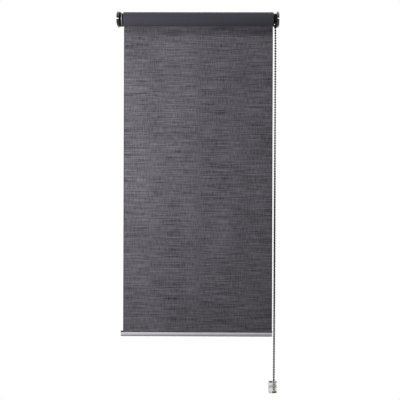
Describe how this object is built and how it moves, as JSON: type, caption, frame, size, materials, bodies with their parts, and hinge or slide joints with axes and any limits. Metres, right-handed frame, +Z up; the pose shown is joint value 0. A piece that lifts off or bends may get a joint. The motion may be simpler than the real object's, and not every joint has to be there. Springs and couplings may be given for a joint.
{
  "type": "roller blind",
  "caption": "Wall-held roller blind: a wound cloth on a tube between two bracket plates, a weighted bottom bar, and a ball chain loop with a clear tensioner.",
  "frame": {"origin": "on the wall plane, midway along the fabric's width, at the height of the roller's axis", "axes": "+X along the roller to the chain end, +Y into the wall, +Z up"},
  "size_m": [0.3811, 0.0488, 0.8946],
  "materials": {
    "nickel_plate": "nickel-plated pressed steel, satin to bright",
    "steel": "bright zinc-plated",
    "chain_steel": "dark nickel, slightly bronze",
    "aluminium": "satin anodised",
    "black_plastic": "moulded, fine satin",
    "grey_plastic": "moulded, satin",
    "clear_plastic": "clear polycarbonate, polished",
    "cloth": "coated slub weave, grey with a smooth slate back",
    "adhesive_tape": "thin double-sided tape"
  },
  "bodies": {
    "brackets": {"idle_bracket": "nickel_plate", "control_bracket": "nickel_plate", "idle_bracket_liner": "black_plastic", "control_spindle": "black_plastic", "clutch_spring_1": "steel", "clutch_spring_2": "steel", "spindle_washer": "steel", "spindle_screw": "steel", "chain_on_wheel": "chain_steel", "chain_loop": "chain_steel", "tensioner_left_shell": "clear_plastic", "tensioner_right_shell": "clear_plastic", "tensioner_axle": "steel", "tensioner_weight": "chain_steel", "fabric_drop": "cloth"},
    "roller": {"roller_tube": "aluminium", "fabric_roll": "cloth", "fabric_tape": "adhesive_tape", "idle_plug": "grey_plastic", "idle_pin_spring": "steel", "spring_retainer": "black_plastic", "drive_crown": "grey_plastic"},
    "idle_pin": {"idle_pin": "steel"},
    "chain_wheel": {"chain_wheel": "black_plastic"},
    "chain_stop": {"chain_stop": "chain_steel"},
    "tensioner_pulley": {"tensioner_pulley": "clear_plastic"},
    "bottom_bar": {"bottom_bar": "aluminium", "bottom_bar_insert": "black_plastic", "bottom_bar_cap_left": "clear_plastic", "bottom_bar_cap_right": "clear_plastic"}
  },
  "joints": [
    {"name": "roller_turn", "type": "hinge", "parent": "brackets", "child": "roller", "pos_m": [0, -0.03, 0], "axis": [1, 0, 0], "range_deg": [0, 2353.8]},
    {"name": "bottom_bar_lift", "type": "slide", "parent": "brackets", "child": "bottom_bar", "axis": [0, 0, 1], "range_m": [0, 0.7], "deforming": ["fabric_drop"]},
    {"name": "chain_wheel_turn", "type": "hinge", "parent": "brackets", "child": "chain_wheel", "pos_m": [0.18075, -0.03, 0], "axis": [1, 0, 0], "range_deg": [0, 2354]},
    {"name": "chain_stop_travel", "type": "slide", "parent": "brackets", "child": "chain_stop", "axis": [-0.0005, 0.0033, -1], "range_m": [0, 0.511]},
    {"name": "tensioner_pulley_turn", "type": "hinge", "parent": "brackets", "child": "tensioner_pulley", "pos_m": [0.1798, -0.03, -0.861], "axis": [1, 0, 0], "range_deg": [0, 3061]},
    {"name": "idle_pin_press", "type": "slide", "parent": "roller", "child": "idle_pin", "axis": [1, 0, 0], "range_m": [0, 0.004], "stiffness_N_per_m": 400, "springref_m": -0.006, "deforming": ["idle_pin_spring"]}
  ],
  "couplings": [
    {"joint": "bottom_bar_lift", "follows": "roller_turn", "m_per_rad": 0.017025},
    {"joint": "chain_wheel_turn", "follows": "roller_turn", "ratio": 1},
    {"joint": "chain_stop_travel", "follows": "roller_turn", "m_per_rad": 0.012414},
    {"joint": "tensioner_pulley_turn", "follows": "roller_turn", "ratio": 1.3}
  ]
}
